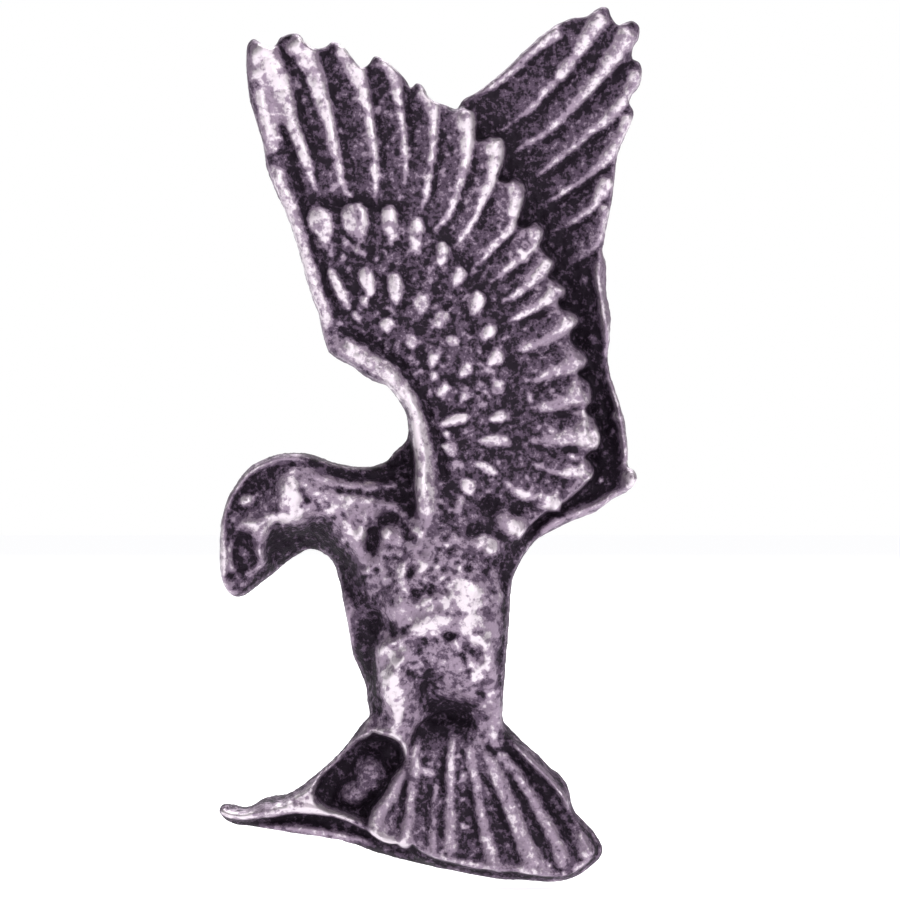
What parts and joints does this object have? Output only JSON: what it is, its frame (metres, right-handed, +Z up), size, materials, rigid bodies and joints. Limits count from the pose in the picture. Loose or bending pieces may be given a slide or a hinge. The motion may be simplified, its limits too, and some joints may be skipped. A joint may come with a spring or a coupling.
{
  "type": "eagle lapel badge",
  "caption": "Cast pewter badge of a landing eagle with raised wings, with a soldered post and a squeeze-release clutch behind.",
  "frame": {"origin": "where the axis of the post meets the casting's flat back", "axes": "+Z up as the badge is worn, towards the wing tips; +Y out of the flat back, along the post; the relief faces -Y and +X is to the viewer's right"},
  "size_m": [0.0183, 0.0144, 0.038],
  "materials": {
    "antiqued_pewter": "cast pewter, darkened in the recesses and rubbed bright on the crests",
    "post_steel": "drawn and plated",
    "solder": "dull flowed solder",
    "clutch_brass": "pressed sheet, lightly tarnished",
    "spring_steel": "drawn wire"
  },
  "bodies": {
    "badge": {"eagle_casting": "antiqued_pewter", "pin_post": "post_steel", "solder_bead": "solder"},
    "clutch": {"clutch_cup": "clutch_brass", "clutch_cover": "clutch_brass", "clutch_spring": "spring_steel"},
    "jaw_right": {"clutch_jaw_right": "clutch_brass"},
    "jaw_left": {"clutch_jaw_left": "clutch_brass"}
  },
  "joints": [
    {"name": "clutch_slide", "type": "slide", "parent": "badge", "child": "clutch", "axis": [0, 1, 0], "range_m": [0, 0.0086]},
    {"name": "jaw_right_squeeze", "type": "slide", "parent": "clutch", "child": "jaw_right", "axis": [-1, 0, 0], "range_m": [0, 0.00055], "stiffness_N_per_m": 400, "springref_m": -0.0005, "deforming": ["clutch_spring"]},
    {"name": "jaw_left_squeeze", "type": "slide", "parent": "clutch", "child": "jaw_left", "axis": [1, 0, 0], "range_m": [0, 0.00055], "stiffness_N_per_m": 400, "springref_m": -0.0005}
  ],
  "couplings": [
    {"joint": "jaw_left_squeeze", "follows": "jaw_right_squeeze", "ratio": 1}
  ]
}
